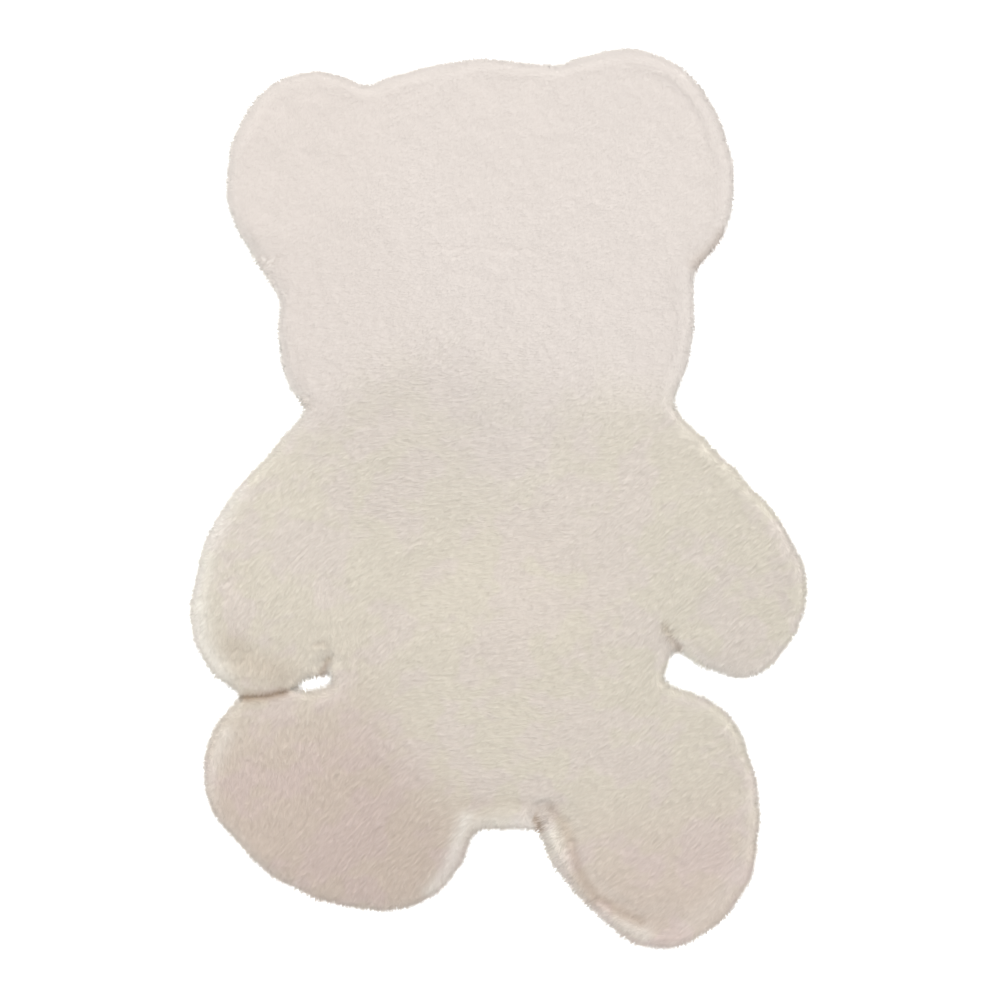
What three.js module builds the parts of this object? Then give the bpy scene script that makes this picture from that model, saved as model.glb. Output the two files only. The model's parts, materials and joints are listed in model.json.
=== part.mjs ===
// A bear-shaped rug of thick, soft pile, lying flat: one lumpy slab with a rounded, tufted edge.
// Millimetres, +Z up. The crown of the head points to +Y. The origin is on the floor, under the
// middle of the rug.
import * as THREE from 'three';
import { ConvexHull } from 'three/addons/math/ConvexHull.js';
import { ImprovedNoise } from 'three/addons/math/ImprovedNoise.js';

// Driving dimensions
const rugLength = 900; // crown to the tip of the longer foot
const pileHeight = 18; // floor to the tips of the upright pile
const fullestHeight = 8; // height at which the edge reaches out the furthest
const shoulderWidth = 17; // width over which the pile rounds off to the edge
const notchRounding = 11; // stretch of edge over which pile rounds off a notch

// Unevenness of the hand-combed pile: how large the lumps are across, and how high
const broadLumps = { across: 95, height: 1.1 };
const fineLumps = { across: 34, height: 0.6 };
const edgeTufts = { across: 24, reach: 1.3 };

// Spacing of the mesh: points along the edge stand closer where it turns sharply
const edgeStep = 10;
const closeStep = 4;
const sharpTurn = THREE.MathUtils.degToRad(15);
const fieldStep = 20;
const fieldMargin = 12;
const marchStep = 1.5;
const evening = 0.1; // share of the way to its neighbours' middle that a point takes for each millimetre

// The edge, counter-clockwise from the left end of the hem between the legs. Each row is one smooth
// stretch through its points (x, y), and two stretches meet in a notch.
const edgeRows = [
  { part: 'hem', through: [[-22, -330], [7, -332], [40, -330]] },
  { part: 'right leg', through: [[40, -330], [47, -354], [64, -379], [95, -412], [135, -444], [168, -450],
    [204, -437], [247, -392], [262, -322], [256, -271], [238, -224], [213, -200], [165, -182]] },
  { part: 'right flank', through: [[165, -182], [171, -166], [173, -149]] },
  { part: 'right arm', through: [[173, -149], [184, -156], [207, -170], [241, -180], [272, -169], [299, -131],
    [309, -98], [304, -61], [279, -16], [243, 25], [204, 62], [176, 93]] },
  { part: 'right cheek', through: [[176, 93], [195, 155], [196, 225]] },
  { part: 'right ear', through: [[196, 225], [228, 267], [237, 322], [218, 387], [185, 430], [131, 450],
    [84, 442], [56, 433]] },
  { part: 'crown', through: [[56, 433], [25, 436], [-21, 440], [-73, 432], [-132, 413]] },
  { part: 'left ear', through: [[-132, 413], [-157, 423], [-191, 427], [-226, 415], [-255, 383], [-272, 334],
    [-270, 288], [-254, 255], [-226, 212]] },
  { part: 'left cheek', through: [[-226, 212], [-219, 200], [-222, 165], [-209, 110], [-191, 89]] },
  { part: 'left arm', through: [[-191, 89], [-226, 51], [-262, 11], [-290, -33], [-304, -81], [-309, -118],
    [-299, -157], [-276, -183], [-252, -194], [-229, -191], [-201, -184], [-184, -178], [-171, -169]] },
  { part: 'left leg', through: [[-171, -169], [-164, -175], [-168, -184], [-201, -193], [-225, -201],
    [-252, -200], [-272, -211], [-290, -240], [-296, -270], [-290, -306], [-271, -332], [-236, -370],
    [-190, -397], [-147, -409], [-102, -412], [-66, -399], [-40, -372], [-22, -330]] },
];

// The edge below its fullest height: the pile is cut under toward the backing
const undercut = [
  { inset: 6.5, height: 0 },
  { inset: 2.6, height: 1.6 },
  { inset: 0.6, height: 4.6 },
];

// Distances in from the edge at which the rounded top has a ring of points
const topInsets = [1.3, 4.5, 9.5, 16, 23, 31];

// Soft troughs where the pile parts: the middle line, the half width and the depth
const troughs = [
  { place: 'cleft beside the hem', halfWidth: 5, depth: 8, line: [[40, -326], [37, -316], [47, -303]] },
  { place: 'cleft under the right arm', halfWidth: 5, depth: 8, line: [[174, -146], [166, -123]] },
  { place: 'cleft under the left arm', halfWidth: 6, depth: 8, line: [[-177, -174], [-166, -159]] },
  { place: 'inside the right foot', halfWidth: 9, depth: 4.5,
    line: [[52, -306], [65, -330], [78, -361], [91, -385], [116, -405], [143, -420], [185, -424]] },
  { place: 'above the hem', halfWidth: 8, depth: 2.5, line: [[-32, -303], [5, -300], [38, -303]] },
  { place: 'under the left arm', halfWidth: 9, depth: 2, line: [[-272, -158], [-235, -168], [-200, -160]] },
];

const noise = new ImprovedNoise();

function lumps(x, y, { across, height }) {
  return height * 2 * noise.noise(x / across, y / across, across);
}

// Points every millimetre or so along the whole edge, without the points where stretches meet twice
function denseEdge() {
  return edgeRows.flatMap(({ through }) => {
    const points = through.map(([x, y]) => new THREE.Vector3(x, y, 0));
    const curve = new THREE.CatmullRomCurve3(points, false, 'centripetal');
    return curve.getSpacedPoints(Math.round(curve.getLength())).slice(0, -1);
  });
}

// Averages every point of a closed ring with its neighbours within reach steps
function averaged(ring, reach) {
  return ring.map((_, i) => {
    const sum = new THREE.Vector3();
    for (let k = -reach; k <= reach; k++) {
      sum.add(ring.at((i + k) % ring.length));
    }
    return sum.divideScalar(2 * reach + 1);
  });
}

// Unit normals of a counter-clockwise ring, pointing outward
function outwardNormals(ring) {
  return ring.map((_, i) => {
    const along = ring[(i + 1) % ring.length].clone().sub(ring.at(i - 1));
    return new THREE.Vector3(along.y, -along.x, 0).normalize();
  });
}

// Keeps points of a dense ring that stand a step apart, or less where the ring turns
function stepped(ring) {
  const normals = outwardNormals(ring);
  const kept = [0];
  for (let i = 1; i < ring.length; i++) {
    const away = ring[i].distanceTo(ring[kept.at(-1)]);
    const turn = normals[i].angleTo(normals[kept.at(-1)]);
    const toStart = ring[i].distanceTo(ring[0]);
    if ((away > edgeStep || (away > closeStep && turn > sharpTurn)) && toStart > closeStep) {
      kept.push(i);
    }
  }
  return kept.map((i) => ring[i]);
}

// The edge at its fullest height: rounded notches and small tufts, centred and at its real length
function rugEdge() {
  const rounded = averaged(denseEdge(), Math.round(notchRounding / 2));
  const normals = outwardNormals(rounded);
  const tufted = rounded.map((p, i) => {
    const reach = lumps(p.x, p.y, { across: edgeTufts.across, height: edgeTufts.reach });
    return p.clone().addScaledVector(normals[i], reach);
  });
  const ring = stepped(tufted);
  const box = new THREE.Box3().setFromPoints(ring);
  const middle = box.getCenter(new THREE.Vector3());
  const scale = rugLength / (box.max.y - box.min.y);
  return ring.map((p) => p.sub(middle).multiplyScalar(scale));
}

// Moves a ring inward in small steps, and evens it out on the way so that it never crosses itself
function insetRing(ring, distance) {
  const steps = Math.ceil(distance / marchStep);
  let moved = ring;
  for (let step = 0; step < steps; step++) {
    const normals = outwardNormals(moved);
    const inner = moved.map((p, i) => p.clone().addScaledVector(normals[i], -distance / steps));
    moved = inner.map((p, i) => {
      const middle = inner[(i + 1) % inner.length].clone().add(inner.at(i - 1)).multiplyScalar(0.5);
      return p.clone().lerp(middle, (evening * distance) / steps);
    });
  }
  return moved;
}

// Distance from a point to a line through points, closed to a ring if asked
function distanceToLine(point, line, closed) {
  const nearest = new THREE.Vector3();
  const segment = new THREE.Line3();
  let least = Infinity;
  for (let i = closed ? 0 : 1; i < line.length; i++) {
    segment.set(line.at(i - 1), line[i]);
    segment.closestPointToPoint(point, true, nearest);
    least = Math.min(least, nearest.distanceTo(point));
  }
  return least;
}

const troughLines = troughs.map(({ line }) => line.map(([x, y]) => new THREE.Vector3(x, y, 0)));

// Height of the pile's top: a rounded shoulder at the edge, then a lumpy field with soft troughs
function topHeight(point, edge) {
  const inward = Math.min(distanceToLine(point, edge, true) / shoulderWidth, 1);
  const rise = Math.sqrt(1 - (1 - inward) ** 2);
  const uneven = lumps(point.x, point.y, broadLumps) + lumps(point.x, point.y, fineLumps);
  const sunk = troughs.reduce((sum, { halfWidth, depth }, i) => {
    const away = distanceToLine(point, troughLines[i], false) / halfWidth;
    return sum + depth * Math.exp(-away * away);
  }, 0);
  return fullestHeight + (pileHeight + uneven - sunk - fullestHeight) * rise;
}

function isInside(point, ring) {
  let inside = false;
  for (let i = 0; i < ring.length; i++) {
    const a = ring[i];
    const b = ring.at(i - 1);
    const crosses = a.y > point.y !== b.y > point.y;
    if (crosses && point.x < a.x + ((b.x - a.x) * (point.y - a.y)) / (b.y - a.y)) {
      inside = !inside;
    }
  }
  return inside;
}

// Points in a triangular grid inside a ring, clear of it by the field's margin
function fieldPoints(ring) {
  const rowStep = (fieldStep * Math.sqrt(3)) / 2;
  const box = new THREE.Box3().setFromPoints(ring);
  const points = [];
  for (let row = 0, y = box.min.y; y < box.max.y; row++, y += rowStep) {
    for (let x = box.min.x + (row % 2) * (fieldStep / 2); x < box.max.x; x += fieldStep) {
      const point = new THREE.Vector3(x, y, 0);
      if (isInside(point, ring) && distanceToLine(point, ring, true) > fieldMargin) {
        points.push(point);
      }
    }
  }
  return points;
}

// Triangles that fill a ring through the points of its field. Lifted onto a bowl, the points have a
// convex hull whose underside is their most even triangulation.
function fillTriangles(ring, field) {
  const points = [...ring, ...field];
  const lifted = points.map((p) => new THREE.Vector3(p.x, p.y, (p.x * p.x + p.y * p.y) / rugLength));
  const order = new Map(lifted.map((p, i) => [p, i]));
  const hull = new ConvexHull().setFromPoints(lifted);
  const triangles = [];
  for (const face of hull.faces) {
    const corners = [face.edge, face.edge.next, face.edge.prev].map((edge) => order.get(edge.head().point));
    const middle = corners.reduce((sum, i) => sum.add(points[i]), new THREE.Vector3()).divideScalar(3);
    if (face.normal.z < 0 && isInside(middle, ring)) {
      triangles.push([corners[0], corners[2], corners[1]]);
    }
  }
  return triangles;
}

// The closed slab: flat underside, undercut, fullest edge, rounded shoulder and field
function rugGeometry() {
  const edge = rugEdge();
  const lower = undercut.map(({ inset, height }) => insetRing(edge, inset).map((p) => p.setZ(height)));
  const fullest = edge.map((p) => p.clone().setZ(fullestHeight));
  const upper = topInsets.map((inset) => insetRing(edge, inset));
  const field = fieldPoints(upper.at(-1));
  const fill = fillTriangles(upper.at(-1), field);
  for (const point of [...upper.flat(), ...field]) {
    point.z = topHeight(point.clone().setZ(0), edge);
  }

  const rings = [...lower, fullest, ...upper];
  const count = edge.length;
  const indices = [];
  for (let level = 0; level < rings.length - 1; level++) {
    for (let i = 0; i < count; i++) {
      const a = level * count + i;
      const b = level * count + ((i + 1) % count);
      indices.push(a, b, b + count, a, b + count, a + count);
    }
  }
  const innermost = (rings.length - 1) * count;
  indices.push(...fill.flat().map((i) => i + innermost));
  const underside = THREE.ShapeUtils.triangulateShape(rings[0], []);
  for (const [a, b, c] of underside) {
    indices.push(a, c, b);
  }
  const geometry = new THREE.BufferGeometry().setFromPoints([...rings.flat(), ...field]);
  geometry.setIndex(indices);
  geometry.computeVertexNormals();
  return geometry;
}

const plush = new THREE.MeshStandardMaterial({ color: 0xdcd3c8, roughness: 0.95, metalness: 0 });

const group = new THREE.Group();
const rug = new THREE.Mesh(rugGeometry(), plush);
rug.name = 'bear_rug';
group.add(rug);

export default group;
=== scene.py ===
import json
import math
import bmesh
import bpy
import numpy as np
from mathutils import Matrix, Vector

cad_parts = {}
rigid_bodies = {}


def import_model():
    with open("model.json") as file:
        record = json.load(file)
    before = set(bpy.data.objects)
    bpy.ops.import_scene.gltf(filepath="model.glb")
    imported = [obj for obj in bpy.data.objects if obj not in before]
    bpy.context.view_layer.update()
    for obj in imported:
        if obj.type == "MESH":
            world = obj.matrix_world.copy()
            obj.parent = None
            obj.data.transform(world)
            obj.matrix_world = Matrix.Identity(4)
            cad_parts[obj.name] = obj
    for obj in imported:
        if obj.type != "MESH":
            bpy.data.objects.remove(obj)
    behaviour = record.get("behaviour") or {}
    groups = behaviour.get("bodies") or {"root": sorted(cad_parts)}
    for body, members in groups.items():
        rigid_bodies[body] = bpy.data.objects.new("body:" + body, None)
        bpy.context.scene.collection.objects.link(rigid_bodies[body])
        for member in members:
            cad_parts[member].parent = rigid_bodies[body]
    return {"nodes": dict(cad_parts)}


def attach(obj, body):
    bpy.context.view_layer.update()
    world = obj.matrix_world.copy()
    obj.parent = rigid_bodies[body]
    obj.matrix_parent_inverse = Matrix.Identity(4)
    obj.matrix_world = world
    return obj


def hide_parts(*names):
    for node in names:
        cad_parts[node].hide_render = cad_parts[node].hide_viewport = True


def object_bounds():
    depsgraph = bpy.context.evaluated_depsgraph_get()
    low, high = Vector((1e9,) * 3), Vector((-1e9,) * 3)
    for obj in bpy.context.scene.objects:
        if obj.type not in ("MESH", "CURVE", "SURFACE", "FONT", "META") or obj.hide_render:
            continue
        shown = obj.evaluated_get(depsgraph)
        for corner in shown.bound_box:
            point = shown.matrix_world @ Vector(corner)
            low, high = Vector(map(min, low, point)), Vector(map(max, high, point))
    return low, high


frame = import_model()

scene = bpy.context.scene
mm = 0.001
samePlace = 0.01 * mm  # what is nearer than this is taken as one place
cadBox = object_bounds()


# helpers

def linear(hexColour):  # sRGB hex to the linear colour that shaders take
    parts = [int(hexColour[i:i + 2], 16) / 255 for i in (1, 3, 5)]
    return (*[c / 12.92 if c <= 0.04045 else ((c + 0.055) / 1.055) ** 2.4 for c in parts], 1.0)


def addNode(tree, kind, values=None, links=None, **settings):  # values and links by socket name or number
    node = tree.nodes.new(kind)
    for name, value in settings.items():
        setattr(node, name, value)
    for socket, value in (values or {}).items():
        node.inputs[socket].default_value = value
    for socket, source in (links or {}).items():
        tree.links.new(source, node.inputs[socket])
    return node


def newMaterial(name):
    material = bpy.data.materials.new(name)
    material.use_nodes = True
    material.node_tree.nodes.clear()
    return material, material.node_tree


def readVectors(items, name, count):  # one row of x, y, z per item
    found = np.empty(count * 3, np.float32)
    items.foreach_get(name, found)
    return found.reshape(-1, 3).astype(float)


def readPoints(mesh):
    return readVectors(mesh.vertices, "co", len(mesh.vertices))


def readNormals(mesh):
    return readVectors(mesh.vertex_normals, "vector", len(mesh.vertices))


def readAttribute(mesh, name):
    return readVectors(mesh.attributes[name].data, "vector", len(mesh.vertices))


def readShares(mesh, name):
    found = np.empty(len(mesh.vertices), np.float32)
    mesh.attributes[name].data.foreach_get("value", found)
    return found.astype(float)


def writePoints(mesh, points):
    mesh.vertices.foreach_set("co", points.astype(np.float32).ravel())
    mesh.update()


def writeAttribute(mesh, name, kind, values):  # one value per vertex
    attribute = mesh.attributes.new(name, kind, "POINT")
    attribute.data.foreach_set("vector" if kind == "FLOAT_VECTOR" else "value",
                               np.ravel(values).astype(np.float32))


def dropAttributes(mesh, names):
    for name in names:
        if name in mesh.attributes:
            mesh.attributes.remove(mesh.attributes[name])


def shadeSmooth(mesh):
    mesh.polygons.foreach_set("use_smooth", [True] * len(mesh.polygons))


def evaluated(thing):  # the object's mesh with its modifiers applied
    return bpy.data.meshes.new_from_object(thing.evaluated_get(bpy.context.evaluated_depsgraph_get()))


def unit(vectors):
    return vectors / np.maximum(np.linalg.norm(vectors, axis=1, keepdims=True), 1e-9)


def ease(low, high, values):  # 0 below low, 1 above high, smooth between
    share = np.clip((values - low) / (high - low), 0, 1)
    return share * share * (3 - 2 * share)


def waves(u, v, seed):  # smooth noise from about -1 to 1 with one swell per unit
    cells = 256  # after so many it repeats
    turns = np.random.default_rng(seed).uniform(0, 2 * math.pi, (cells, cells))
    cellU, cellV = np.floor(u).astype(int), np.floor(v).astype(int)
    u, v = u - cellU, v - cellV
    corner = {}
    for i in (0, 1):
        for j in (0, 1):
            turn = turns[(cellU + i) % cells, (cellV + j) % cells]
            corner[i, j] = (u - i) * np.cos(turn) + (v - j) * np.sin(turn)
    shareU, shareV = ease(0, 1, u), ease(0, 1, v)
    low = corner[0, 0] * (1 - shareU) + corner[1, 0] * shareU
    high = corner[0, 1] * (1 - shareU) + corner[1, 1] * shareU
    toFullHeight = 1.6
    return toFullHeight * (low * (1 - shareV) + high * shareV)


def flatWaves(points, across, seed):
    return waves(points[:, 0] / across, points[:, 1] / across, seed)


# an even grid over the rug, for what is drawn once and then read at many points

gridStep = 0.5 * mm
gridMargin = 12 * mm
gridX, gridY = [np.arange(cadBox[0][k] - gridMargin, cadBox[1][k] + gridMargin, gridStep) for k in (0, 1)]


def sampled(values, points):  # reads a grid at flat points, evenly between its nodes
    last = np.array(values.shape) - 1.001  # just short of the last node
    at = np.clip((points[:, :2] - (gridX[0], gridY[0])) / gridStep, 0, last)
    i, j = at.astype(int).T
    u, v = (at % 1).T
    return (values[i, j] * (1 - u) * (1 - v) + values[i + 1, j] * u * (1 - v)
            + values[i, j + 1] * (1 - u) * v + values[i + 1, j + 1] * u * v)


def wayToPath(points, path):  # from each flat point straight to the line through the path's points
    best = np.full(points.shape, np.inf)
    for a, b in zip(path[:-1], path[1:]):
        a, b = np.array(a, float), np.array(b, float)
        share = np.clip(((points - a) @ (b - a)) / ((b - a) @ (b - a)), 0, 1)
        way = a + share[:, None] * (b - a) - points
        nearer = (way ** 2).sum(1) < (best ** 2).sum(1)
        best[nearer] = way[nearer]
    return best


def nearPath(points, path, reach):  # 1 on the path, fading smoothly to 0 past its reach
    return np.exp(-(wayToPath(points, path) ** 2).sum(1) / reach ** 2)


# places on the rug, seen from above: between them the pile's tone, nap and ripples change smoothly
# at: the place's middle in mm; shade: darker by this share, partly the pile's own tone and partly painted
# shade where less light falls; rippled: how strongly
# combed: the way that the nap leans and the ripples run, in degrees from +X

placeReach = 55  # mm
places = [
    {"place": "left ear", "at": (-207, 347), "tone": "pale", "shade": 0.05, "combed": 235, "rippled": 0.25},
    {"place": "right ear", "at": (161, 366), "tone": "pale", "shade": 0.00, "combed": 228, "rippled": 0.35},
    {"place": "forehead", "at": (-8, 337), "tone": "pale", "shade": 0.02, "combed": 225, "rippled": 0.3},
    {"place": "face", "at": (-8, 237), "tone": "pale", "shade": 0.00, "combed": 218, "rippled": 0.4},
    {"place": "left cheek", "at": (-167, 187), "tone": "pale", "shade": 0.05, "combed": 205, "rippled": 0.4},
    {"place": "right cheek", "at": (141, 187), "tone": "pale", "shade": 0.00, "combed": 205, "rippled": 0.4},
    {"place": "neck", "at": (-8, 88), "tone": "pale", "shade": 0.00, "combed": 194, "rippled": 0.7},
    {"place": "left chest", "at": (-63, 40), "tone": "cream", "shade": 0.02, "combed": 190, "rippled": 1.9},
    {"place": "right chest", "at": (101, 12), "tone": "cream", "shade": 0.00, "combed": 208, "rippled": 1.5},
    {"place": "left arm", "at": (-237, -56), "tone": "cream", "shade": 0.02, "combed": 228, "rippled": 1.3},
    {"place": "left hand", "at": (-232, -146), "tone": "cream", "shade": 0.10, "combed": 255, "rippled": 1.2},
    {"place": "right arm", "at": (231, -51), "tone": "cream", "shade": 0.00, "combed": 212, "rippled": 1.6},
    {"place": "right hand", "at": (251, -126), "tone": "cream", "shade": 0.00, "combed": 220, "rippled": 2.1},
    {"place": "belly", "at": (2, -91), "tone": "cream", "shade": 0.08, "combed": 200, "rippled": 0.9},
    {"place": "waist", "at": (-13, -210), "tone": "cream", "shade": 0.06, "combed": 192, "rippled": 1.4},
    {"place": "left leg", "at": (-202, -285), "tone": "rosy", "shade": 0.11, "combed": 258, "rippled": 1.5},
    {"place": "left foot", "at": (-122, -369), "tone": "rosy", "shade": 0.15, "combed": 230, "rippled": 2.1},
    {"place": "right leg", "at": (156, -270), "tone": "cream", "shade": 0.05, "combed": 212, "rippled": 1.4},
    {"place": "right foot", "at": (171, -380), "tone": "rosy", "shade": 0.02, "combed": 222, "rippled": 1.5},
]


def placeShares(points):  # one column per place, each row adds up to 1
    away = np.linalg.norm(points[:, None, :2] / mm - [row["at"] for row in places], axis=2)
    shares = np.exp(-(away / placeReach) ** 2 / 2) + 1e-9
    return shares / shares.sum(1, keepdims=True)


def blend(points, values):  # values: one per place
    return placeShares(points) @ np.array(values, float)


def blendTurn(points, key, folds=1):  # in radians; with two folds a line's two ends are the same
    turns = np.radians([row[key] for row in places]) * folds
    shares = placeShares(points)
    return np.arctan2(shares @ np.sin(turns), shares @ np.cos(turns)) / folds


# the relief of the pile: ripples all over and short partings in a few places

ripples = {"long": 7 * mm, "short": 2.4 * mm, "height": 0.28 * mm, "ways": 4, "seed": 40}
partings = [  # at, spread, length, depth: in mm; runs: degrees from +X
    {"place": "outer left arm", "at": (-257, -84), "spread": (14, 26),
     "runs": 42, "count": 26, "length": 7, "depth": 0.9},
    {"place": "left hand's rim", "at": (-246, -163), "spread": (34, 12),
     "runs": 75, "count": 30, "length": 8, "depth": 0.9},
    {"place": "upper chest", "at": (-38, 46), "spread": (60, 26),
     "runs": 8, "count": 60, "length": 7, "depth": 0.45},
    {"place": "face", "at": (-25, 246), "spread": (70, 5),
     "runs": 12, "count": 22, "length": 9, "depth": 0.35},
    {"place": "right hand", "at": (240, -120), "spread": (36, 30),
     "runs": 45, "count": 36, "length": 7, "depth": 0.6},
    {"place": "right armpit", "at": (186, -146), "spread": (14, 12),
     "runs": 120, "count": 18, "length": 8, "depth": 1.2},
    {"place": "left leg", "at": (-218, -270), "spread": (30, 40),
     "runs": 85, "count": 36, "length": 8, "depth": 0.6},
    {"place": "left foot's rim", "at": (-215, -372), "spread": (34, 12),
     "runs": 50, "count": 20, "length": 9, "depth": 1.2},
    {"place": "left ear's notch", "at": (-235, 233), "spread": (14, 12),
     "runs": 25, "count": 14, "length": 8, "depth": 1.1},
    {"place": "left neck", "at": (-190, 95), "spread": (6, 8),
     "runs": 130, "count": 6, "length": 9, "depth": 1.1},
    {"place": "inside the right foot", "at": (73, -340), "spread": (4, 22),
     "runs": 25, "count": 24, "length": 8, "depth": 1.2},
    {"place": "lower inside the right foot", "at": (106, -404), "spread": (24, 7),
     "runs": 50, "count": 20, "length": 8, "depth": 1.2},
]
partingChance = {
    "seed": 60,
    "scatter": 0.5,  # of the row's spread
    "turned": 18,  # degrees to either side
    "half": (0.3, 0.6),  # half a parting's length, as a share of the row's
    "depth": (0.5, 1.0),
}
lockParting = {"share": 0.4, "halfWidth": 1.5}  # how far the locks sink into a parting; half width in mm
bodyParting = {"share": 0.6, "halfWidth": 2.6}  # and how far the body under them does


def drawPartings():  # the ends and depth of each parting
    found = []
    for number, row in enumerate(partings):
        chance = np.random.default_rng(partingChance["seed"] + number)
        for _ in range(row["count"]):
            middle = np.array(row["at"]) + chance.normal(0, partingChance["scatter"], 2) * row["spread"]
            turn = math.radians(row["runs"] + chance.normal(0, partingChance["turned"]))
            way = np.array([math.cos(turn), math.sin(turn)])
            half = way * row["length"] * chance.uniform(*partingChance["half"])
            depth = row["depth"] * chance.uniform(*partingChance["depth"])
            found.append((middle - half, middle + half, depth))
    return found


allPartings = drawPartings()


def drawPartingGrid(halfWidth):  # how deep the partings are, in mm
    depth = np.zeros((len(gridX), len(gridY)))
    faded = 3 * halfWidth
    for start, end, deep in allPartings:
        low, high = np.minimum(start, end) - faded, np.maximum(start, end) + faded
        i = slice(*np.searchsorted(gridX / mm, (low[0], high[0])))
        j = slice(*np.searchsorted(gridY / mm, (low[1], high[1])))
        spots = np.stack(np.meshgrid(gridX[i] / mm, gridY[j] / mm, indexing="ij"), -1)
        shares = nearPath(spots.reshape(-1, 2), [start, end], halfWidth).reshape(spots.shape[:2])
        depth[i, j] = np.maximum(depth[i, j], deep * shares)
    return depth


def drawRelief():  # the height of the ripples and partings over the rug
    height = -lockParting["share"] * mm * drawPartingGrid(lockParting["halfWidth"])
    for i, x in enumerate(gridX):
        points = np.stack([np.full(len(gridY), x), gridY], 1)
        runs, strength = blendTurn(points, "combed", 2), blend(points, [row["rippled"] for row in places])
        for k in range(ripples["ways"]):
            turn = math.pi * k / ripples["ways"]
            along = points @ (math.cos(turn), math.sin(turn))
            across = points @ (-math.sin(turn), math.cos(turn))
            share = np.clip(np.cos(2 * (runs - turn)), 0, None) * strength
            height[i] += ripples["height"] * share * waves(
                along / ripples["long"], across / ripples["short"], ripples["seed"] + k)
    return height


relief = drawRelief()
reliefSlopes = np.gradient(relief, gridStep)
print("relief drawn")


# the pile's body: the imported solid, drawn in by what the locks on it stand proud

pileBody = {
    "node": "bear_rug",
    "voxel": 3.0 * mm,
    "softened": 8,  # times
    "loweredTop": 1.1 * mm,
    "drawnInSide": 3.8 * mm,
    "wallFoot": 4 * mm,  # up to this height less is drawn in, so that the edge stays on the floor
    "pileFrom": 10 * mm,  # from this height on it is all pile, with its full relief
    "clumps": [(26 * mm, 0.32 * mm), (12 * mm, 0.16 * mm)],  # width of a clump, height
    "clumpSeed": 30,
    "pressedFlat": 1.5 * mm,  # what lies lower than this is on the floor
}

# where the pile parts deeply, or is only painted darker: the middle line, half width and depth, in mm; shade:
# painted shade in clefts, slits and creases and on rims turned from the light, and a darker patch on the left
# hand
pileTroughs = [
    {"place": "cleft beside the hem", "halfWidth": 3.5, "depth": 1.3, "shade": 0.7,
     "path": [(44, -327), (38, -317)]},
    {"place": "over the hem's cleft", "halfWidth": 2.5, "depth": 0, "shade": 0.1,
     "path": [(38, -314), (42, -307), (48, -302)]},
    {"place": "cleft under the right arm", "halfWidth": 3, "depth": 1.4, "shade": 0.35,
     "path": [(182, -148), (174, -140), (166, -124)]},
    {"place": "cleft under the left arm", "halfWidth": 4, "depth": 1.5, "shade": 0.4,
     "path": [(-177, -175), (-172, -166), (-168, -159)]},
    {"place": "over the left armpit", "halfWidth": 2.5, "depth": 1.0, "shade": 0.2,
     "path": [(-181, -145), (-174, -143), (-171, -146)]},
    {"place": "between the left hand and leg", "halfWidth": 4.5, "depth": 0.5, "shade": 0.8,
     "path": [(-250, -197.5), (-229, -196), (-212, -192)]},
    {"place": "inside the right foot", "halfWidth": 6, "depth": 1.5, "shade": 0.3,
     "path": [(54, -306), (64, -320), (74, -341), (78, -358),
              (85, -378), (98, -396), (119, -409), (141, -419)]},
    {"place": "above the hem", "halfWidth": 5, "depth": 0.6, "shade": 0.07,
     "path": [(-32, -303), (5, -301), (34, -304)]},
    # a patch on the left hand painted darker, towards the inner colour
    {"place": "darker patch on the left hand", "halfWidth": 15, "depth": 0, "shade": 0.19,
     "path": [(-262, -146), (-246, -164), (-214, -172)]},
    {"place": "below the right ear", "halfWidth": 8, "depth": 0, "shade": 0.3,
     "path": [(224, 262), (213, 246), (198, 233)]},
    {"place": "left foot's lower rim", "halfWidth": 7, "depth": 0, "shade": 0.12,
     "path": [(-240, -372), (-205, -392), (-160, -402)]},
]

# painted light: where the pile catches the light it is painted paler, in mm
paintedLightBands = [
    {"place": "roll inside the right foot", "reach": 9, "share": 0.43,
     "path": [(52, -330), (58, -352), (69, -378), (89, -401), (113, -418), (146, -434)]},
    {"place": "right foot's outer edge", "reach": 13, "share": 0.14,
     "path": [(252, -300), (252, -335), (240, -372), (218, -402), (190, -422)]},
    {"place": "left hand over the gap", "reach": 5, "share": 0.35, "path": [(-199, -190.5), (-176, -173)]},
    {"place": "left leg's inner edge", "reach": 9, "share": 0.55,
     "path": [(-30, -318), (-39, -340), (-49, -368), (-67, -390)]},
    {"place": "left arm's outer edge", "reach": 12, "share": 0.5,
     "path": [(-262, 10), (-290, -40), (-300, -90), (-296, -140), (-272, -180)]},
    {"place": "left leg's outer edge", "reach": 9, "share": 0.3,
     "path": [(-270, -232), (-287, -275), (-286, -315)]},
    {"place": "hem", "reach": 9, "share": 0.4, "path": [(-24, -323), (34, -323)]},
]

# where the piles of two parts meet over the gap between them, in mm: what lies nearer than closed is drawn
# to the gap's middle, and less and less of it up to the reach
closings = [
    {"place": "between the left hand and leg", "closed": 8, "reach": 22, "share": 0.95, "lowered": 2.5,
     "path": [(-252, -198), (-229, -196), (-206, -190.5)]},
    {"place": "left armpit", "closed": 6, "reach": 14, "share": 0.95, "lowered": 1,
     "path": [(-176, -176), (-166, -172)]},
]
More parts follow.
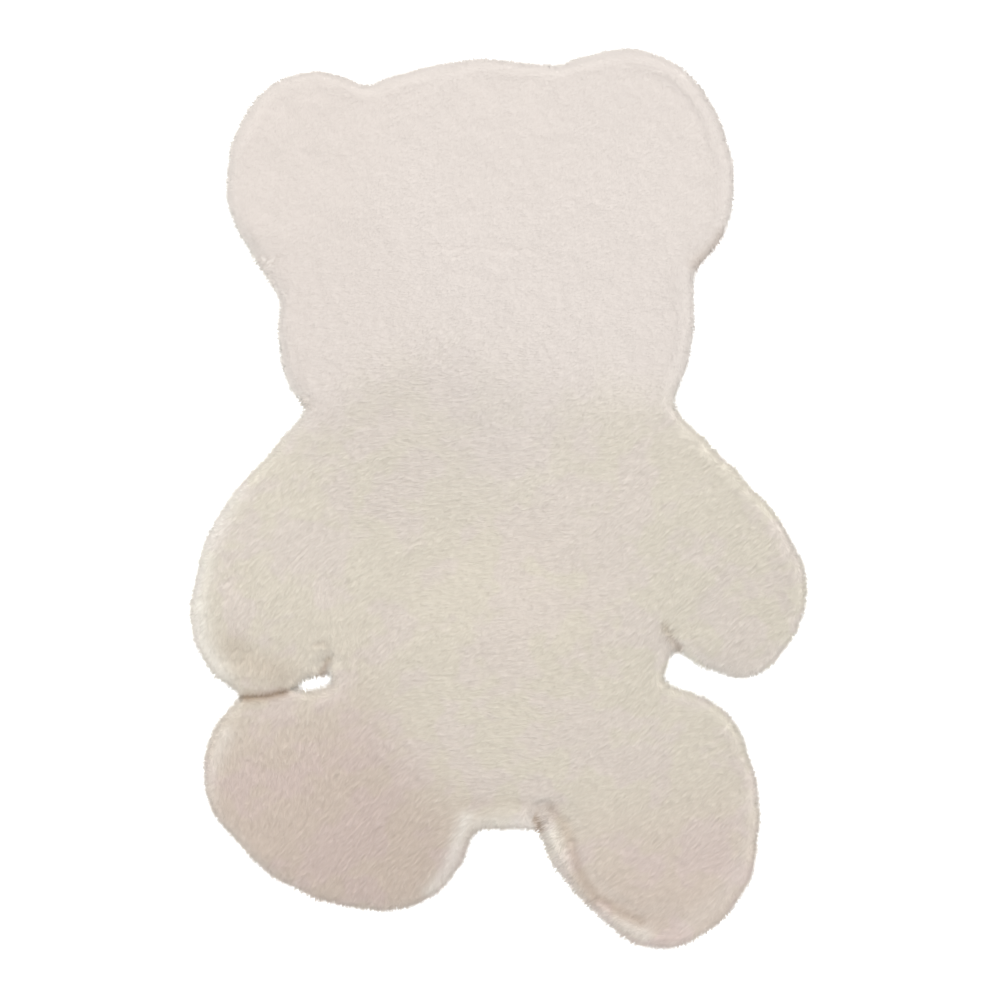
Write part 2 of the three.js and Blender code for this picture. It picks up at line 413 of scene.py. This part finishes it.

# where longer tufts stand along the rim, in mm
# combed: degrees from +X, or none where they lie as the pile around them does; shade: painted shade among the
# tufts
tuftRows = [
    {"place": "inside the right foot", "reach": 9, "combed": 212, "shade": 0.0,
     "path": [(48, -318), (56, -345), (64, -364), (77, -385), (94, -403), (114, -420), (142, -435)]},
    {"place": "left armpit", "reach": 5, "combed": None, "shade": 0.0,
     "path": [(-200, -184), (-186, -178)]},
    {"place": "right armpit", "reach": 7, "combed": None, "shade": 0.0,
     "path": [(168, -128), (176, -148), (192, -160), (206, -166)]},
    {"place": "left foot's rim", "reach": 5, "combed": None, "shade": 0.0,
     "path": [(-262, -345), (-238, -372), (-208, -392), (-178, -400)]},
    {"place": "left ear's notch", "reach": 4, "combed": None, "shade": 0.05,
     "path": [(-250, 250), (-236, 232), (-222, 214)]},
    {"place": "left neck", "reach": 3.5, "combed": None, "shade": 0.05, "path": [(-192, 100), (-184, 90)]},
]


def mergeDoubles(mesh):
    shape = bmesh.new()
    shape.from_mesh(mesh)
    bmesh.ops.remove_doubles(shape, verts=shape.verts, dist=samePlace)
    shape.to_mesh(mesh)
    shape.free()


def joinUnderside(mesh):  # the flat underside needs no grid, so it becomes one face
    shape = bmesh.new()
    shape.from_mesh(mesh)
    under = [face for face in shape.faces if all(v.co.z < samePlace for v in face.verts)]
    bmesh.ops.dissolve_faces(shape, faces=under)
    shape.to_mesh(mesh)
    shape.free()


def makePileBody():
    mesh = frame["nodes"][pileBody["node"]].data.copy()
    mesh.materials.clear()
    mergeDoubles(mesh)
    body = bpy.data.objects.new("pile_body", mesh)
    scene.collection.objects.link(body)
    remesh = body.modifiers.new("even mesh", "REMESH")
    remesh.mode = "VOXEL"
    remesh.voxel_size = pileBody["voxel"]
    soften = body.modifiers.new("soften", "SMOOTH")
    soften.iterations = pileBody["softened"]
    mesh = evaluated(body)
    body.modifiers.clear()
    body.data = mesh

    points, normals = readPoints(mesh), readNormals(mesh)
    upper = ease(pileBody["wallFoot"], pileBody["pileFrom"], points[:, 2])  # 0 at the floor, 1 on the pile
    steep = np.linalg.norm(normals[:, :2], axis=1, keepdims=True)
    drawnIn = pileBody["loweredTop"] * (1 - steep) + pileBody["drawnInSide"] * steep
    points -= normals * drawnIn * np.clip(points[:, 2:] / pileBody["wallFoot"], 0, 1)
    parted = sampled(drawPartingGrid(bodyParting["halfWidth"]), points)
    points[:, 2] -= bodyParting["share"] * mm * parted * upper
    for number, (across, height) in enumerate(pileBody["clumps"]):
        points[:, 2] += height * flatWaves(points, across, pileBody["clumpSeed"] + number) * upper
    for row in pileTroughs:
        near = nearPath(points[:, :2] / mm, row["path"], row["halfWidth"])
        points[:, 2] -= row["depth"] * mm * near * upper
    for row in closings:
        way = wayToPath(points[:, :2] / mm, row["path"]) * mm
        away = np.linalg.norm(way, axis=1) / mm
        points[:, :2] += way * row["share"] * (1 - ease(row["closed"], row["reach"], away))[:, None]
        points[:, 2] -= row["lowered"] * mm * (1 - ease(0, row["reach"] / 2, away)) * upper
    points[points[:, 2] < pileBody["pressedFlat"], 2] = 0
    writePoints(mesh, points)
    joinUnderside(mesh)
    shadeSmooth(mesh)
    return body


pile = makePileBody()
print("pile body:", len(pile.data.polygons), "faces")


# the nap and the tones: which way the pile leans and what colour it has, at each point of the body, with its
# painted shade and painted light
# a steepness is 0 on level pile and 1 on the upright wall

nap = {
    "wander": math.radians(28),
    "wanderAcross": 60 * mm,
    "wanderSeeds": (3, 7),
    "fineWander": 0.6,  # as a share of the wide one
    "fineFolds": 5,  # how many times finer
    "turnsDownhill": (0.12, 0.75),  # over these steepnesses it turns to run down the shoulder
    "standsOut": (0.6, 0.95),  # and over these it comes to stand straight out from the rim
    "rimLean": 0.3,  # how much of its lean is left there
    "lift": math.radians(2),  # of a lock above the surface where the pile is smooth
    "rippledLift": math.radians(8),  # and how much more where it is rippled
    "tuftRise": 0.35,
    "smoothRipples": (0.3, 1.2),  # pile rippled less than the first is smooth, more than the second isn't
    # painted shade: no point is painted darker than this share
    "darkest": 0.85,
}
# painted light: the rim, the wall and the bands are painted paler towards the rim colour, in place of the
# light that comes through the thin pile at the edge
rimLight = {
    "steepness": (0, 0.6),  # over these steepnesses the rim grows pale, as light comes through its locks
    "allRound": 0.45,  # how pale, more so on the lit side
    "litSide": (-0.8, -0.6),
    "wall": 0.9,  # and how pale the wall is on every side
    "wallSteepness": (0.75, 1),
    "partedFades": 2.5,  # a trough of one over this shade isn't paled at all
    "overhang": (0.3, 0.95),  # over this much less than level a lock comes to hang free over the edge
    "atRoots": 0.25,  # how much of the paleness is there where it doesn't
    "fromTips": 0.15,  # and how much of the rest only the tips have
}


def layNap(points, normals, steep, rippled):  # which way each lock points
    wide, fine = nap["wanderSeeds"]
    heading = blendTurn(points, "combed") + nap["wander"] * (
        flatWaves(points, nap["wanderAcross"], wide)
        + nap["fineWander"] * flatWaves(points, nap["wanderAcross"] / nap["fineFolds"], fine))
    lean = np.stack([np.cos(heading), np.sin(heading), np.zeros(len(points))], 1)
    flat = unit(lean - normals * (lean * normals).sum(1, keepdims=True))
    aside = np.cross(normals, flat)
    downhill = unit(normals * normals[:, 2:] - (0, 0, 1))
    turn = np.arctan2((aside * downhill).sum(1), (flat * downhill).sum(1))
    turn *= ease(*nap["turnsDownhill"], steep)
    flat = flat * np.cos(turn)[:, None] + aside * np.sin(turn)[:, None]
    lift = (nap["lift"] + nap["rippledLift"] * rippled)[:, None]
    onTop = flat * np.cos(lift) + normals * np.sin(lift)
    atRim = unit(unit(normals * (1, 1, 0)) + nap["rimLean"] * lean)
    edge = ease(*nap["standsOut"], steep)[:, None]
    return unit(onTop * (1 - edge) + atRim * edge)


def combPile(mesh):
    points, normals = readPoints(mesh), readNormals(mesh)
    spots = points[:, :2] / mm
    steep = np.linalg.norm(normals[:, :2], axis=1)
    rippled = blend(points, [row["rippled"] for row in places])
    lay = layNap(points, normals, steep, rippled)
    # each place's shade: partly the pile's own tone, partly painted shade; the tufts' and troughs' painted
    # shade is added below
    shade = blend(points, [row["shade"] for row in places])
    tufted = np.zeros(len(points))
    for row in tuftRows:
        near = nearPath(spots, row["path"], row["reach"])
        if row["combed"] is not None:
            turn = math.radians(row["combed"])
            way = unit(np.array([[math.cos(turn), math.sin(turn), nap["tuftRise"]]]))
            lay = unit(lay * (1 - near[:, None]) + way * near[:, None])
        tufted = np.maximum(tufted, near)
        shade += row["shade"] * near
    # painted shade in the troughs' clefts, slits and creases
    parted = np.zeros(len(points))
    for row in pileTroughs:
        parted += row["shade"] * nearPath(spots, row["path"], row["halfWidth"])
    # painted light along the bands
    lit = np.zeros(len(points))
    for row in paintedLightBands:
        lit = np.maximum(lit, row["share"] * nearPath(spots, row["path"], row["reach"]))
    # painted light on the rim: paler on the side that litSide points to and on the wall, and none in a trough
    # painted dark
    unparted = 1 - np.clip(rimLight["partedFades"] * parted, 0, 1)
    through = rimLight["allRound"] + (1 - rimLight["allRound"]) * normals[:, :2] @ rimLight["litSide"]
    through += (rimLight["wall"] - through) * ease(*rimLight["wallSteepness"], steep)

    writeAttribute(mesh, "lay", "FLOAT_VECTOR", lay)
    writeAttribute(mesh, "under", "FLOAT_VECTOR", normals)
    writeAttribute(mesh, "smooth", "FLOAT", 1 - ease(*nap["smoothRipples"], rippled))
    writeAttribute(mesh, "tufted", "FLOAT", tufted)
    writeAttribute(mesh, "shade", "FLOAT", np.clip(shade + parted, 0, nap["darkest"]))
    writeAttribute(mesh, "rim", "FLOAT", ease(*rimLight["steepness"], steep) * unparted * through)
    writeAttribute(mesh, "lit", "FLOAT", lit * unparted)
    for tone in ("rosy", "pale"):  # the rest is cream
        writeAttribute(mesh, tone, "FLOAT", blend(points, [row["tone"] == tone for row in places]))


# painted light: the rim's painted paleness is kept in full where a lock hangs free over the edge, more at its
# tips, and a share of it elsewhere; the painted-light bands are kept too
def paintRimLight(mesh, level, tip):  # level: 1 on level pile, 0 on the wall; tip: 0 at a lock's root, 1 at its tip
    hangs = ease(*rimLight["overhang"], 1 - level)
    locked = (1 - rimLight["fromTips"] + rimLight["fromTips"] * tip) * hangs
    rim = readShares(mesh, "rim") * (rimLight["atRoots"] + (1 - rimLight["atRoots"]) * locked)
    rim = np.maximum(rim, readShares(mesh, "lit"))
    mesh.attributes["rim"].data.foreach_set("value", rim.astype(np.float32))


combPile(pile.data)
print("nap combed")


# the locks: Geometry Nodes stand a small tapered tuft of pile on each of many scattered points
# Smoothing: how much wider and flatter the locks are, and how much straighter, where the pile is smooth
# Shortest, Longest: as shares of the length; Steepest, Shallowest: how upright the surface's normal stands

topLocks = {"Spacing": 1.17 * mm, "Length": 4.4 * mm, "Width": 1.65 * mm, "Flatness": 0.45, "Smoothing": 0.75,
            "Spread": 0.09, "Shortest": 0.75, "Longest": 1.2, "Steepest": 0.4, "Shallowest": 1.1}
edgeLocks = {"Spacing": 0.9 * mm, "Length": 7.6 * mm, "Width": 0.7 * mm, "Flatness": 0.8, "Spread": 0.28,
             "Shortest": 0.3, "Longest": 1.35, "Steepest": -0.5, "Shallowest": 0.62}
tuftLocks = {"Spacing": 1.9 * mm, "Length": 8.8 * mm, "Width": 1.6 * mm, "Flatness": 0.5, "Spread": 0.3,
             "Shortest": 0.5, "Longest": 1.3, "Steepest": -0.5, "Shallowest": 1.1, "Least tufted": 0.4}
lowestRoot = 1.2 * mm
lockPieces = {  # each covers the rug from one y to another
    "head_pile": {**topLocks, "From": 205 * mm, "To": 470 * mm, "Seed": 11},
    "chest_pile": {**topLocks, "From": 20 * mm, "To": 205 * mm, "Seed": 12},
    "arms_pile": {**topLocks, "From": -130 * mm, "To": 20 * mm, "Seed": 13},
    "waist_pile": {**topLocks, "From": -275 * mm, "To": -130 * mm, "Seed": 14},
    "feet_pile": {**topLocks, "From": -470 * mm, "To": -275 * mm, "Seed": 15},
    "edge_pile": {**edgeLocks, "From": -470 * mm, "To": 470 * mm, "Seed": 21},
    "rim_tufts": {**tuftLocks, "From": -470 * mm, "To": 470 * mm, "Seed": 22},
}
lockShading = {
    "lowest": 0.3 * mm,  # no lock goes lower
    "tipStart": 5 * mm,  # from this far from its root on, a lock is all tip
    "ownTop": 0.06,  # how much of a lock's own roundness its shading shows on the top
    "ownRim": 0.25,
    "ownTuft": 0.5,
    "levelness": (0.2, 0.9),  # from the rim's share to the top's
    "tilt": 0.1,  # how far the shading tilts with the shoulder, as light comes through its locks
    "tiltFades": (0, 0.07),  # over this much less than level it comes down to that
    "tuftTilt": 0.5,  # how much of that is taken back in tufts
    "leastUp": 0.3,
    # painted shade at a tuft's root
    "tuftRoot": 0.25,  # how much darker a tuft is at its root
}


def makeLockTree(material):
    tree = bpy.data.node_groups.new("locks", "GeometryNodeTree")
    tree.interface.new_socket("Geometry", in_out="INPUT", socket_type="NodeSocketGeometry")
    for name in ("From", "To", "Lowest", "Steepest", "Shallowest", "Least tufted",
                 "Spacing", "Length", "Shortest", "Longest", "Width", "Flatness", "Smoothing", "Spread"):
        tree.interface.new_socket(name, in_out="INPUT", socket_type="NodeSocketFloat")
    tree.interface.new_socket("Seed", in_out="INPUT", socket_type="NodeSocketInt")
    tree.interface.new_socket("Geometry", in_out="OUTPUT", socket_type="NodeSocketGeometry")
    given = addNode(tree, "NodeGroupInput").outputs
    stored = {}
    kinds = {"lay": "FLOAT_VECTOR", "under": "FLOAT_VECTOR", "smooth": "FLOAT", "tufted": "FLOAT"}
    for name, kind in kinds.items():
        read = addNode(tree, "GeometryNodeInputNamedAttribute", {"Name": name}, data_type=kind)
        stored[name] = read.outputs[0]

    # roots scattered over the chosen faces, none nearer to another than the spacing
    position = addNode(tree, "GeometryNodeInputPosition").outputs[0]
    normal = addNode(tree, "GeometryNodeInputNormal").outputs[0]
    place = addNode(tree, "ShaderNodeSeparateXYZ", links={0: position}).outputs
    facing = addNode(tree, "ShaderNodeSeparateXYZ", links={0: normal}).outputs
    limits = [("From", place["Y"], "GREATER_EQUAL"), ("To", place["Y"], "LESS_THAN"),
              ("Steepest", facing["Z"], "GREATER_EQUAL"), ("Shallowest", facing["Z"], "LESS_THAN"),
              ("Lowest", place["Z"], "GREATER_THAN"), ("Least tufted", stored["tufted"], "GREATER_EQUAL")]
    chosen = addNode(tree, "FunctionNodeInputBool", boolean=True).outputs[0]
    for name, value, how in limits:
        within = addNode(tree, "FunctionNodeCompare", links={0: value, 1: given[name]}, operation=how)
        chosen = addNode(tree, "FunctionNodeBooleanMath", links={0: chosen, 1: within.outputs[0]},
                         operation="AND").outputs[0]
    squared = addNode(tree, "ShaderNodeMath", links={0: given["Spacing"], 1: given["Spacing"]},
                      operation="MULTIPLY")
    density = addNode(tree, "ShaderNodeMath", {0: 4.0}, {1: squared.outputs[0]}, operation="DIVIDE")
    scatter = addNode(tree, "GeometryNodeDistributePointsOnFaces", links={
        "Mesh": given["Geometry"], "Selection": chosen, "Distance Min": given["Spacing"],
        "Density Max": density.outputs[0], "Seed": given["Seed"]}, distribute_method="POISSON")
    rooted = addNode(tree, "GeometryNodeStoreNamedAttribute", {"Name": "root"}, {
        "Geometry": scatter.outputs["Points"], "Value": position}, data_type="FLOAT_VECTOR", domain="POINT")

    # each lock points along the nap, a little astray, with its flat side on the pile
    smoothed = addNode(tree, "ShaderNodeMath", links={0: stored["smooth"], 1: given["Smoothing"]},
                       operation="MULTIPLY").outputs[0]
    loose = addNode(tree, "ShaderNodeMath", {0: 1.0}, {1: smoothed}, operation="SUBTRACT").outputs[0]
    spread = addNode(tree, "ShaderNodeMath", links={0: given["Spread"], 1: loose}, operation="MULTIPLY")
    stray = addNode(tree, "FunctionNodeRandomValue", {0: (-1, -1, -1), 1: (1, 1, 1)}, {"Seed": given["Seed"]},
                    data_type="FLOAT_VECTOR")
    strayed = addNode(tree, "ShaderNodeVectorMath", links={0: stray.outputs[0], "Scale": spread.outputs[0]},
                      operation="SCALE")
    aim = addNode(tree, "ShaderNodeVectorMath", links={0: stored["lay"], 1: strayed.outputs[0]},
                  operation="ADD")
    along = addNode(tree, "FunctionNodeAlignRotationToVector", links={"Vector": aim.outputs[0]}, axis="Z")
    turned = addNode(tree, "FunctionNodeAlignRotationToVector", links={
        "Rotation": along.outputs[0], "Vector": stored["under"]}, axis="X", pivot_axis="Z")

    # a three-sided cone, as long, wide and thick as its lock
    tuft = addNode(tree, "GeometryNodeMeshCone", {
        "Vertices": 3, "Side Segments": 1, "Fill Segments": 1,
        "Radius Top": 0.0, "Radius Bottom": 0.5, "Depth": 1.0}, fill_type="NGON")
    longer = addNode(tree, "FunctionNodeRandomValue", links={
        2: given["Shortest"], 3: given["Longest"], "Seed": given["Seed"]})
    length = addNode(tree, "ShaderNodeMath", links={0: given["Length"], 1: longer.outputs[1]},
                     operation="MULTIPLY")
    width = addNode(tree, "ShaderNodeMath", links={0: given["Width"], 1: smoothed, 2: given["Width"]},
                    operation="MULTIPLY_ADD")
    thin = addNode(tree, "ShaderNodeMath", links={0: given["Width"], 1: given["Flatness"]},
                   operation="MULTIPLY")
    depth = addNode(tree, "ShaderNodeMath", links={0: thin.outputs[0], 1: loose}, operation="MULTIPLY")
    size = addNode(tree, "ShaderNodeCombineXYZ", links={
        "X": depth.outputs[0], "Y": width.outputs[0], "Z": length.outputs[0]})
    locks = addNode(tree, "GeometryNodeInstanceOnPoints", links={
        "Points": rooted.outputs[0], "Instance": tuft.outputs["Mesh"],
        "Rotation": turned.outputs[0], "Scale": size.outputs[0]})
    tone = addNode(tree, "FunctionNodeRandomValue", {2: -1.0, 3: 1.0, "Seed": 5})
    toned = addNode(tree, "GeometryNodeStoreNamedAttribute", {"Name": "lockTone"}, {
        "Geometry": locks.outputs[0], "Value": tone.outputs[1]}, data_type="FLOAT", domain="INSTANCE")
    real = addNode(tree, "GeometryNodeRealizeInstances", links={"Geometry": toned.outputs[0]})
    dressed = addNode(tree, "GeometryNodeSetMaterial", {"Material": material}, {"Geometry": real.outputs[0]})
    addNode(tree, "NodeGroupOutput", links={0: dressed.outputs[0]})
    return tree


def settleLocks(mesh):  # lays the locks on the ripples and partings, and shades them as one pile
    points, under = readPoints(mesh), readAttribute(mesh, "under")
    level = np.clip(under[:, 2], 0, 1)
    root = readAttribute(mesh, "root")
    tip = np.clip(np.linalg.norm(points - root, axis=1) / lockShading["tipStart"], 0, 1)
    points += under * (sampled(relief, root) * level)[:, None]
    points[:, 2] = np.maximum(points[:, 2], lockShading["lowest"])
    writePoints(mesh, points)
    tufted = readShares(mesh, "tufted")
    faded = ease(*lockShading["tiltFades"], 1 - level) * (1 - lockShading["tuftTilt"] * tufted)
    smooth = under.copy()
    smooth[:, :2] *= 1 - (1 - lockShading["tilt"]) * faded[:, None]
    smooth[:, 2] = np.maximum(smooth[:, 2], lockShading["leastUp"])
    for k in (0, 1):
        smooth[:, k] -= sampled(reliefSlopes[k], points) * level
    top, rim, tuft = [lockShading[key] for key in ("ownTop", "ownRim", "ownTuft")]
    own = rim + (top - rim) * ease(*lockShading["levelness"], level)
    own = (own + (tuft - own) * tufted)[:, None]
    shaded = unit(unit(smooth) * (1 - own) + readNormals(mesh) * own)
    mesh.normals_split_custom_set_from_vertices(shaded)
    # painted shade: darker deep in the ripples and partings and at a tuft's root
    deep = np.clip(-sampled(relief, points) / mm, -1, 1) * level
    writeAttribute(mesh, "deep", "FLOAT", deep + lockShading["tuftRoot"] * (1 - tip) * tufted)
    paintRimLight(mesh, level, tip)


def growLocks(name, tree, sizes):
    grown = bpy.data.objects.new(name, pile.data.copy())
    scene.collection.objects.link(grown)
    modifier = grown.modifiers.new("locks", "NODES")
    modifier.node_group = tree
    for socket in tree.interface.items_tree:
        if socket.in_out == "INPUT" and socket.name in sizes:
            modifier[socket.identifier] = sizes[socket.name]
    mesh = evaluated(grown)
    grown.modifiers.clear()
    grown.data = mesh
    shadeSmooth(mesh)
    settleLocks(mesh)
    dropAttributes(mesh, ("lay", "under", "root", "smooth", "lit"))
    print(name + ":", len(mesh.polygons) // 4, "locks")
    return grown


# materials

pileColours = {
    "cream": "#DFD8CA",
    "rosy": "#D9CBBF",
    "pale": "#D8D0CA",
    # painted light: the colour that the rim and the bands are painted towards
    "rim": "#FDFBF5",  # where the pile thins and light comes through
    # painted shade: the colour that clefts, creases, the relief's hollows and tuft roots are painted towards
    "inner": "#A38C75",  # between the locks, where little light reaches
    "patchTint": (1.01, 0.985, 1.05),  # a pinker cast in some patches
    "patchShare": 0.8,
    "patchEdge": (0.47, 0.56),  # of the noise, from outside a patch to inside it
    "patchAcross": 42 * mm,
    "lockSpread": 0.012,  # how far a lock's brightness strays from its neighbours'
    "tuftSpread": 0.06,
    # painted shade: deepShare times the deep attribute, plus the shade attribute, is how far the pile is
    # painted towards the inner colour
    "deepShare": 0.25,  # how far the pile goes to the inner colour 1 mm down
}


def makePlush(name):  # acrylic faux fur: dense and matt, its edge lit through by what is around it
    material, tree = newMaterial(name)
    share = {key: addNode(tree, "ShaderNodeAttribute", attribute_name=key).outputs["Fac"]
             for key in ("rosy", "pale", "rim", "deep", "shade", "tufted", "lockTone")}
    tone = {key: linear(pileColours[key]) for key in ("cream", "rosy", "pale", "rim", "inner")}

    # a colour mix has its share at 0, its two colours at 6 and 7, and the result at 2
    colour = addNode(tree, "ShaderNodeMix", {6: tone["cream"], 7: tone["rosy"]}, {0: share["rosy"]},
                     data_type="RGBA").outputs[2]
    colour = addNode(tree, "ShaderNodeMix", {7: tone["pale"]}, {0: share["pale"], 6: colour},
                     data_type="RGBA").outputs[2]
    place = addNode(tree, "ShaderNodeTexCoord").outputs["Object"]
    patches = addNode(tree, "ShaderNodeTexNoise", {"Scale": 1 / pileColours["patchAcross"], "Detail": 2.0},
                      {"Vector": place})
    outside, inside = pileColours["patchEdge"]
    patch = addNode(tree, "ShaderNodeMapRange", {
        "From Min": outside, "From Max": inside, "To Max": pileColours["patchShare"]},
        {"Value": patches.outputs[0]})
    unpale = addNode(tree, "ShaderNodeMath", {0: 1.0}, {1: share["pale"]}, operation="SUBTRACT")
    patchy = addNode(tree, "ShaderNodeMath", links={0: patch.outputs[0], 1: unpale.outputs[0]},
                     operation="MULTIPLY")
    tinted = addNode(tree, "ShaderNodeVectorMath", {1: pileColours["patchTint"]}, {0: colour},
                     operation="MULTIPLY")
    colour = addNode(tree, "ShaderNodeMix", links={0: patchy.outputs[0], 6: colour, 7: tinted.outputs[0]},
                     data_type="RGBA").outputs[2]
    # painted light: towards the near-white rim colour by the rim attribute
    colour = addNode(tree, "ShaderNodeMix", {7: tone["rim"]}, {0: share["rim"], 6: colour},
                     data_type="RGBA").outputs[2]
    # painted shade: towards the inner colour by the deep and shade attributes
    inner = addNode(tree, "ShaderNodeMath", {1: pileColours["deepShare"]},
                    {0: share["deep"], 2: share["shade"]}, operation="MULTIPLY_ADD", use_clamp=True)
    colour = addNode(tree, "ShaderNodeMix", {7: tone["inner"]}, {0: inner.outputs[0], 6: colour},
                     data_type="RGBA").outputs[2]

    spread = addNode(tree, "ShaderNodeMath", {1: pileColours["tuftSpread"], 2: pileColours["lockSpread"]},
                     {0: share["tufted"]}, operation="MULTIPLY_ADD")
    brightness = addNode(tree, "ShaderNodeMath", {2: 1.0}, {0: share["lockTone"], 1: spread.outputs[0]},
                         operation="MULTIPLY_ADD")
    toned = addNode(tree, "ShaderNodeVectorMath", links={0: colour, "Scale": brightness.outputs[0]},
                    operation="SCALE")
    shader = addNode(tree, "ShaderNodeBsdfPrincipled", {
        "Roughness": 0.95, "Specular IOR Level": 0.15, "Sheen Weight": 0.1, "Sheen Roughness": 0.6,
        "Diffuse Roughness": 0.3}, {"Base Color": toned.outputs[0]})
    addNode(tree, "ShaderNodeOutputMaterial", links={"Surface": shader.outputs[0]})
    return material


ground = {"colour": "#D9D2C4", "wale": 1.3 * mm, "depth": 0.12 * mm}


def makeGround(name):  # the fabric's own warp-knit ground on the underside: matt, with fine lengthwise wales
    material, tree = newMaterial(name)
    place = addNode(tree, "ShaderNodeTexCoord").outputs["Object"]
    wavesPerWale = math.pi / 10  # a wave texture of scale 1 has one band in this many units
    wales = addNode(tree, "ShaderNodeTexWave", {
        "Scale": wavesPerWale / ground["wale"], "Distortion": 1.5, "Detail": 1.0, "Detail Scale": 2.0},
        {"Vector": place}, bands_direction="X")
    raised = addNode(tree, "ShaderNodeBump", {"Distance": ground["depth"]}, {"Height": wales.outputs["Fac"]})
    shader = addNode(tree, "ShaderNodeBsdfPrincipled", {
        "Base Color": linear(ground["colour"]), "Roughness": 0.9, "Specular IOR Level": 0.2},
        {"Normal": raised.outputs[0]})
    addNode(tree, "ShaderNodeOutputMaterial", links={"Surface": shader.outputs[0]})
    return material


plush = makePlush("acrylic plush")
pile.data.materials.append(plush)
pile.data.materials.append(makeGround("warp knit ground"))
facesDown = -0.9  # the underside's normals point lower than this
for face in pile.data.polygons:
    if face.normal.z < facesDown:
        face.material_index = 1

lockTree = makeLockTree(plush)
locks = [growLocks(name, lockTree, {**sizes, "Lowest": lowestRoot}) for name, sizes in lockPieces.items()]
paintRimLight(pile.data, np.clip(readNormals(pile.data)[:, 2], 0, 1), 0)
dropAttributes(pile.data, ("lay", "under", "smooth", "lit"))


def layFlatUv(mesh, underneath):  # one map seen from above; the underside has its own half
    points = readPoints(mesh)
    low, high = points.min(0), points.max(0)
    wallShare = 0.35  # of its height: upright faces keep some width
    leaned = points[:, :2] + points[:, 2:] * wallShare
    uv = (leaned - low[:2]) / (high[:2] - low[:2] + wallShare * high[2])
    corner = np.empty(len(mesh.loops), np.int32)
    mesh.loops.foreach_get("vertex_index", corner)
    uv = uv[corner] * (0.5, 1)
    if underneath:
        for face in mesh.polygons:
            if face.normal.z < -0.5:
                uv[face.loop_start:face.loop_start + face.loop_total, 0] += 0.5
    layer = mesh.uv_layers.new(name="OFBake")
    layer.data.foreach_set("uv", uv.astype(np.float32).ravel())


for piece in [pile, *locks]:
    layFlatUv(piece.data, piece is pile)
    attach(piece, "root")
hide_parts("bear_rug")
print("triangles in all:", sum(len(p.data.loops) - 2 * len(p.data.polygons) for p in [pile, *locks]))


# floor, light and camera

stage = {
    "floor": "#F4F4F4",
    "floorGlow": 1.4,  # a white table lit from below
    "floorHalf": 6.0,
    "floorBelow": 0.3 * mm,  # just clear of the underside
    "world": 0.96,
    "keyPower": 61.0,
    "keyPlace": (-0.65, 1.8, 2.4),
    "keySize": 4.0,
    "cameraHeight": 3.0,
    "sensor": 36,  # mm
    "viewAcross": 0.9945,  # width in view at the height of the rug's edge
    "edgeHeight": 10 * mm,
    "viewMiddle": (2 * mm, -1.5 * mm),  # the photo's middle on the rug
}


def makeStage():
    mesh = bpy.data.meshes.new("floor")
    half = stage["floorHalf"]
    corners = [(-half, -half, 0), (half, -half, 0), (half, half, 0), (-half, half, 0)]
    mesh.from_pydata(corners, [], [(0, 1, 2, 3)])
    floor = bpy.data.objects.new("floor", mesh)
    floor.location.z = -stage["floorBelow"]
    scene.collection.objects.link(floor)
    material, tree = newMaterial("matt white floor")
    shader = addNode(tree, "ShaderNodeBsdfPrincipled", {
        "Base Color": linear(stage["floor"]), "Roughness": 0.9,
        "Emission Color": linear(stage["floor"]), "Emission Strength": stage["floorGlow"]})
    addNode(tree, "ShaderNodeOutputMaterial", links={"Surface": shader.outputs[0]})
    mesh.materials.append(material)

    world = bpy.data.worlds.new("studio")
    world.use_nodes = True
    world.node_tree.nodes["Background"].inputs["Color"].default_value = (1, 1, 1, 1)
    world.node_tree.nodes["Background"].inputs["Strength"].default_value = stage["world"]
    scene.world = world

    key = bpy.data.objects.new("key", bpy.data.lights.new("key", "AREA"))
    key.data.energy = stage["keyPower"]
    key.data.size = stage["keySize"]
    key.location = stage["keyPlace"]
    key.rotation_mode = "QUATERNION"
    key.rotation_quaternion = (-Vector(stage["keyPlace"])).to_track_quat("-Z", "Y")
    scene.collection.objects.link(key)

    camera = bpy.data.objects.new("camera", bpy.data.cameras.new("camera"))
    camera.location = (*stage["viewMiddle"], stage["cameraHeight"])
    camera.data.sensor_width = stage["sensor"]
    camera.data.lens = stage["sensor"] * (stage["cameraHeight"] - stage["edgeHeight"]) / stage["viewAcross"]
    scene.collection.objects.link(camera)
    scene.camera = camera
    scene.view_settings.view_transform = "Standard"


makeStage()
